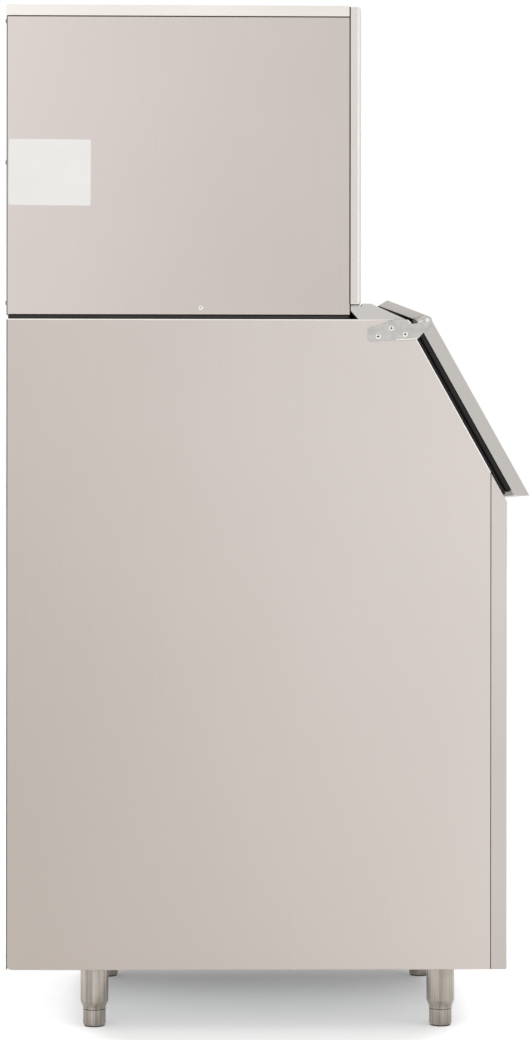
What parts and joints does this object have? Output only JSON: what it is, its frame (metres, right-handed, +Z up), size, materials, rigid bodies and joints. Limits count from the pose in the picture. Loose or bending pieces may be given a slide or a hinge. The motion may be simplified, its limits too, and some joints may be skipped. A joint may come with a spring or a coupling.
{
  "type": "ice machine with storage bin",
  "caption": "Ice machine head on an insulated storage bin with a sloped lift-up door, side hinge brackets and adjustable legs.",
  "frame": {"origin": "on the floor, under the middle of the whole object", "axes": "+Z up, the front with the sloped door faces -Y, +X to the right of someone facing the front"},
  "size_m": [0.5704, 0.863, 1.6925],
  "materials": {
    "stainless_panel": "fine brushed, satin",
    "bright_edge": "bright folded edge",
    "zinc_sheet": "galvanised sheet",
    "polished_steel": "polished plate",
    "leg_steel": "turned satin steel",
    "insulation_foam": "rigid foam",
    "white_plastic": "moulded white plastic",
    "grey_plastic": "moulded grey plastic",
    "black_plastic": "moulded black plastic",
    "black_rubber": "soft black gasket",
    "nickel_plate": "nickel plated copper",
    "copper_tube": "drawn copper",
    "aluminium_fin": "thin fins",
    "black_enamel": "black enamel",
    "brass": "machined brass"
  },
  "bodies": {
    "cabinet": {"bin_side_panel_left": "stainless_panel", "bin_side_panel_right": "stainless_panel", "bin_front_panel": "stainless_panel", "bin_rear_panel": "zinc_sheet", "bin_bottom_panel": "zinc_sheet", "bin_liner": "white_plastic", "foam_left": "insulation_foam", "foam_right": "insulation_foam", "foam_rear": "insulation_foam", "foam_front": "insulation_foam", "foam_floor": "insulation_foam", "bin_top_deck": "bright_edge", "mouth_top_trim": "stainless_panel", "mouth_frame": "white_plastic", "ice_baffle": "white_plastic", "bin_drain": "grey_plastic", "hinge_bracket_left": "polished_steel", "hinge_bracket_right": "polished_steel", "hinge_pin_left": "polished_steel", "hinge_pin_right": "polished_steel", "leg_sleeve_rear_left": "leg_steel", "leg_sleeve_rear_right": "leg_steel", "leg_sleeve_front_left": "leg_steel", "leg_sleeve_front_right": "leg_steel", "head_side_panel_left": "stainless_panel", "head_side_panel_right": "stainless_panel", "head_top_cover": "bright_edge", "head_rear_panel": "zinc_sheet", "head_front_panel": "stainless_panel", "head_base_pan": "zinc_sheet", "head_gasket": "black_rubber", "control_bezel": "black_plastic", "bulkhead": "zinc_sheet", "evaporator_plate": "nickel_plate", "evaporator_coil": "copper_tube", "distributor": "white_plastic", "water_trough": "white_plastic", "water_pump": "black_plastic", "condenser": "aluminium_fin", "fan_shroud": "zinc_sheet", "fan_motor": "black_enamel", "compressor": "black_enamel", "suction_line": "copper_tube", "control_box": "zinc_sheet", "connection_pan": "zinc_sheet", "inlet_fitting": "brass", "drain_fitting": "grey_plastic", "cord_gland": "black_plastic"},
    "door": {"door_shell": "stainless_panel", "door_liner": "white_plastic", "door_gasket": "black_rubber"},
    "curtain": {"water_curtain": "white_plastic"},
    "fan": {"fan_blade": "black_plastic"},
    "power_button": {"power_button": "grey_plastic"},
    "clean_button": {"clean_button": "grey_plastic"},
    "foot_rear_left": {"leg_foot_rear_left": "leg_steel"},
    "foot_rear_right": {"leg_foot_rear_right": "leg_steel"},
    "foot_front_left": {"leg_foot_front_left": "leg_steel"},
    "foot_front_right": {"leg_foot_front_right": "leg_steel"}
  },
  "joints": [
    {"name": "door_hinge", "type": "hinge", "parent": "cabinet", "child": "door", "pos_m": [0, -0.26213, 1.17376], "axis": [-1, 0, 0], "range_deg": [0, 160]},
    {"name": "curtain_hinge", "type": "hinge", "parent": "cabinet", "child": "curtain", "pos_m": [0.0903, 0.01752, 1.5933], "axis": [-1, 0, 0], "range_deg": [0, 20]},
    {"name": "fan_spin", "type": "hinge", "parent": "cabinet", "child": "fan", "pos_m": [-0.153, -0.04068, 1.3009], "axis": [0, 1, 0], "continuous": true},
    {"name": "power_press", "type": "slide", "parent": "cabinet", "child": "power_button", "axis": [0, 1, 0], "range_m": [0, 0.002], "stiffness_N_per_m": 300},
    {"name": "clean_press", "type": "slide", "parent": "cabinet", "child": "clean_button", "axis": [0, 1, 0], "range_m": [0, 0.002], "stiffness_N_per_m": 300},
    {"name": "level_rear_left", "type": "slide", "parent": "cabinet", "child": "foot_rear_left", "axis": [0, 0, -1], "range_m": [0, 0.02]},
    {"name": "level_rear_right", "type": "slide", "parent": "cabinet", "child": "foot_rear_right", "axis": [0, 0, -1], "range_m": [0, 0.02]},
    {"name": "level_front_left", "type": "slide", "parent": "cabinet", "child": "foot_front_left", "axis": [0, 0, -1], "range_m": [0, 0.02]},
    {"name": "level_front_right", "type": "slide", "parent": "cabinet", "child": "foot_front_right", "axis": [0, 0, -1], "range_m": [0, 0.02]}
  ]
}
